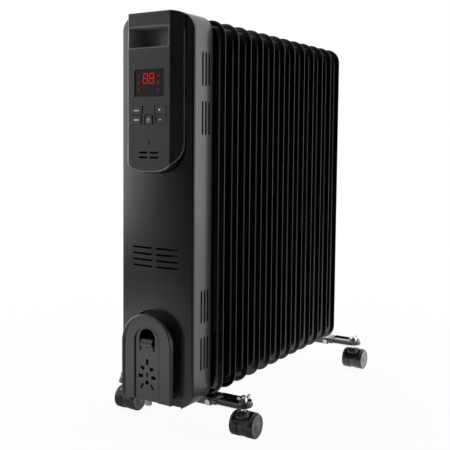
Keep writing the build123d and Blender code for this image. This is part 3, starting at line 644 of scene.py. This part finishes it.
def add_wheels(corner):
    """Twin wheels with a soft tread, and a pale disc in each outer face."""
    centre = castor_centre(corner)
    tread = [(5.6, 0), (5.6, 18.2), (5.9, 18.8), (6.5, 19.0), (18.9, 19.0), (19.6, 18.8), (20.0, 18.3),
             (20.0, 17.6), (19.6, 17.3), (18.8, 17.2), (18.8, 0)]
    disc = [(18.6, 0), (18.6, 17.1), (19.9, 17.1), (20.2, 16.8), (20.3, 16.2), (20.0, 15.6), (20.0, 5.6),
            (20.3, 5.0), (20.6, 4.2), (20.7, 0)]
    wheels = bmesh.new()
    discs = bmesh.new()
    for side in (-1, 1):
        lathe(wheels, tread, centre, (side, 0, 0), 72)
        lathe(discs, disc, centre, (side, 0, 0), 72)
    lathe(wheels, [(-5.7, 0), (-5.7, 3.4), (5.7, 3.4), (5.7, 0)], centre, (1, 0, 0), 24)
    body = f"{corner}_wheels"
    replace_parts(add_piece(f"{corner}_tyres", wheels, body, "castor_wheel"), f"{corner}_castor_wheels")
    add_piece(f"{corner}_wheel_discs", discs, body, "castor_wheel", materials["wheel_disc"])


def add_hood_neck(corner):
    """The ribbed cone between the hood and the stem."""
    low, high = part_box(f"{corner}_castor_fixing")
    stem = Vector(((low.x + high.x) / 2, (low.y + high.y) / 2, 0))
    build = bmesh.new()
    cone = [(34.0, 4.4), (34.0, 12.4), (36.4, 12.2), (38.6, 9.6), (41.4, 8.6), (42.2, 8.2),
            (42.5, 7.4), (42.5, 4.4)]
    rib = [(12.4, 35.2), (10.2, 38.4), (8.8, 41.8)]
    lathe(build, cone, stem, (0, 0, 1), 48, closed=True)
    for turn in range(8):
        angle = math.tau * turn / 8
        outward = Vector((math.cos(angle), math.sin(angle), 0))
        path = [stem + outward * reach * MM + Vector((0, 0, z * MM)) for reach, z in rib]
        bead(build, path, 0.9, sides=8)
    spine = [(-5.2, 0), (-5.2, 17.9), (-4.8, 18.3), (4.8, 18.3), (5.2, 17.9), (5.2, 0)]
    lathe(build, spine, castor_centre(corner), (1, 0, 0), 72)
    add_piece(f"{corner}_hood_neck", build, f"{corner}_hood", "castor_hood")


# ---------------------------------------------------------------- stage
def smooth_step(tree, value, low, high):
    """0 below the low value and 1 above the high one, with a soft change between."""
    node = tree.nodes.new("ShaderNodeMapRange")
    node.interpolation_type = "SMOOTHSTEP"
    node.inputs["From Min"].default_value = low
    node.inputs["From Max"].default_value = high
    tree.links.new(value, node.inputs["Value"])
    return node.outputs["Result"]


def combine(tree, operation, first, second):
    """The result of a sum, product or similar. Either side is a socket or a number."""
    node = tree.nodes.new("ShaderNodeMath")
    node.operation = operation
    for socket, value in zip(node.inputs, (first, second)):
        if isinstance(value, (int, float)):
            socket.default_value = value
        else:
            tree.links.new(value, socket)
    return node.outputs["Value"]


def facing(tree, direction_socket, direction):
    """How nearly a direction of the sky points along the given one."""
    node = tree.nodes.new("ShaderNodeVectorMath")
    node.operation = "DOT_PRODUCT"
    node.inputs[1].default_value = Vector(direction).normalized()
    tree.links.new(direction_socket, node.inputs[0])
    return node.outputs["Value"]


def lobe(tree, sky, direction, sharpness, strength):
    """A soft light area of the sky round one direction."""
    toward = combine(tree, "MAXIMUM", facing(tree, sky, direction), 0.0)
    return combine(tree, "MULTIPLY", combine(tree, "POWER", toward, sharpness), strength)


AMBIENT = 0.03


def add_world():
    """A studio: white cloth behind the heater and to its left, and shade in front of it."""
    world = bpy.data.worlds.new("studio")
    world.use_nodes = True
    bpy.context.scene.world = world
    tree = world.node_tree
    background = tree.nodes["Background"]
    sky = tree.nodes.new("ShaderNodeTexCoord").outputs["Generated"]
    left = lobe(tree, sky, (-0.98, -0.17, 0.1), 4.5, 3.0)
    behind = lobe(tree, sky, (0.45, 1.0, 0.0), 3.0, 1.8)
    right = lobe(tree, sky, (0.9, 0.42, 0.0), 8.0, 1.4)
    above = lobe(tree, sky, (0.0, 0.1, 1.0), 3.0, 1.0)
    back_left = lobe(tree, sky, (-0.8, 0.6, 0.0), 6.0, 2.2)
    light = AMBIENT
    for source in (left, back_left, behind, right, above):
        light = combine(tree, "ADD", source, light)
    seen = tree.nodes.new("ShaderNodeLightPath").outputs["Is Camera Ray"]
    mix = tree.nodes.new("ShaderNodeMix")
    tree.links.new(seen, mix.inputs["Factor"])
    tree.links.new(light, mix.inputs["A"])
    mix.inputs["B"].default_value = 1.0
    tree.links.new(mix.outputs["Result"], background.inputs["Strength"])
    background.inputs["Color"].default_value = (1, 1, 1, 1)


def floor_patch(tree, position, centre, radius, strength):
    """A soft round patch of lit floor."""
    distance = tree.nodes.new("ShaderNodeVectorMath")
    distance.operation = "DISTANCE"
    distance.inputs[1].default_value = centre
    tree.links.new(position, distance.inputs[0])
    outside = smooth_step(tree, distance.outputs["Value"], radius / 2, radius)
    return combine(tree, "MULTIPLY", combine(tree, "SUBTRACT", 1.0, outside), strength)


# Sizes in metres. A patch is its centre, its radius and its strength.
FLOOR_RADIUS = 3.0
FLOOR_GLOW = 0.94
REAR_GLOW = 1.6
FLOOR_PATCHES = (((-0.42, -0.72, 0), 0.5, 1.6), ((0.0, -0.4, 0), 0.3, 0.9))


def add_floor():
    """A white floor that keeps a soft shadow near the heater and fades to white further out.

    To the camera it is plain. In reflections it glows behind the heater and in a few soft patches.
    """
    mesh = bpy.data.meshes.new("floor")
    build = bmesh.new()
    bmesh.ops.create_circle(build, cap_ends=True, segments=96, radius=FLOOR_RADIUS)
    build.to_mesh(mesh)
    build.free()
    floor = bpy.data.objects.new("floor", mesh)
    bpy.context.scene.collection.objects.link(floor)
    material, tree, shader = new_material("floor_white")
    set_inputs(shader, base_color=(0.85, 0.85, 0.85, 1), roughness=0.8, specular_ior_level=0.1)
    position = tree.nodes.new("ShaderNodeTexCoord").outputs["Object"]
    distance = tree.nodes.new("ShaderNodeVectorMath")
    distance.operation = "LENGTH"
    tree.links.new(position, distance.inputs[0])
    far = remap(tree, distance.outputs["Value"], FLOOR_GLOW, 1.0, 0.4, 1.3)
    seen = tree.nodes.new("ShaderNodeLightPath").outputs["Is Camera Ray"]
    glow = tree.nodes.new("ShaderNodeEmission")
    rear = smooth_step(tree, facing(tree, position, (0, 1, 0)), -0.3, 0.1)
    bounced = combine(tree, "MULTIPLY", rear, REAR_GLOW)
    for centre, radius, strength in FLOOR_PATCHES:
        bounced = combine(tree, "MAXIMUM", bounced, floor_patch(tree, position, centre, radius, strength))
    unseen = combine(tree, "SUBTRACT", 1.0, seen)
    strength = combine(tree, "ADD", combine(tree, "MULTIPLY", bounced, unseen), seen)
    tree.links.new(strength, glow.inputs["Strength"])
    mix = tree.nodes.new("ShaderNodeMixShader")
    share = remap(tree, seen, 0.8, 1.0, 0.0, 1.0)
    tree.links.new(combine(tree, "MULTIPLY", far, share), mix.inputs["Fac"])
    tree.links.new(shader.outputs["BSDF"], mix.inputs[1])
    tree.links.new(glow.outputs["Emission"], mix.inputs[2])
    tree.links.new(mix.outputs["Shader"], tree.nodes["Material Output"].inputs["Surface"])
    mesh.materials.append(material)


add_camera()
add_world()
add_floor()
materials = make_materials()
paint_frame(materials)
add_header_welds(add_fins())
add_panel_trim()
add_recess_lips()
add_display()
add_key_marks()
add_bay_edge()
add_winder_lip()
for corner in CORNERS:
    add_wheels(corner)
    add_hood_neck(corner)
bpy.context.scene.view_settings.view_transform = "Standard"
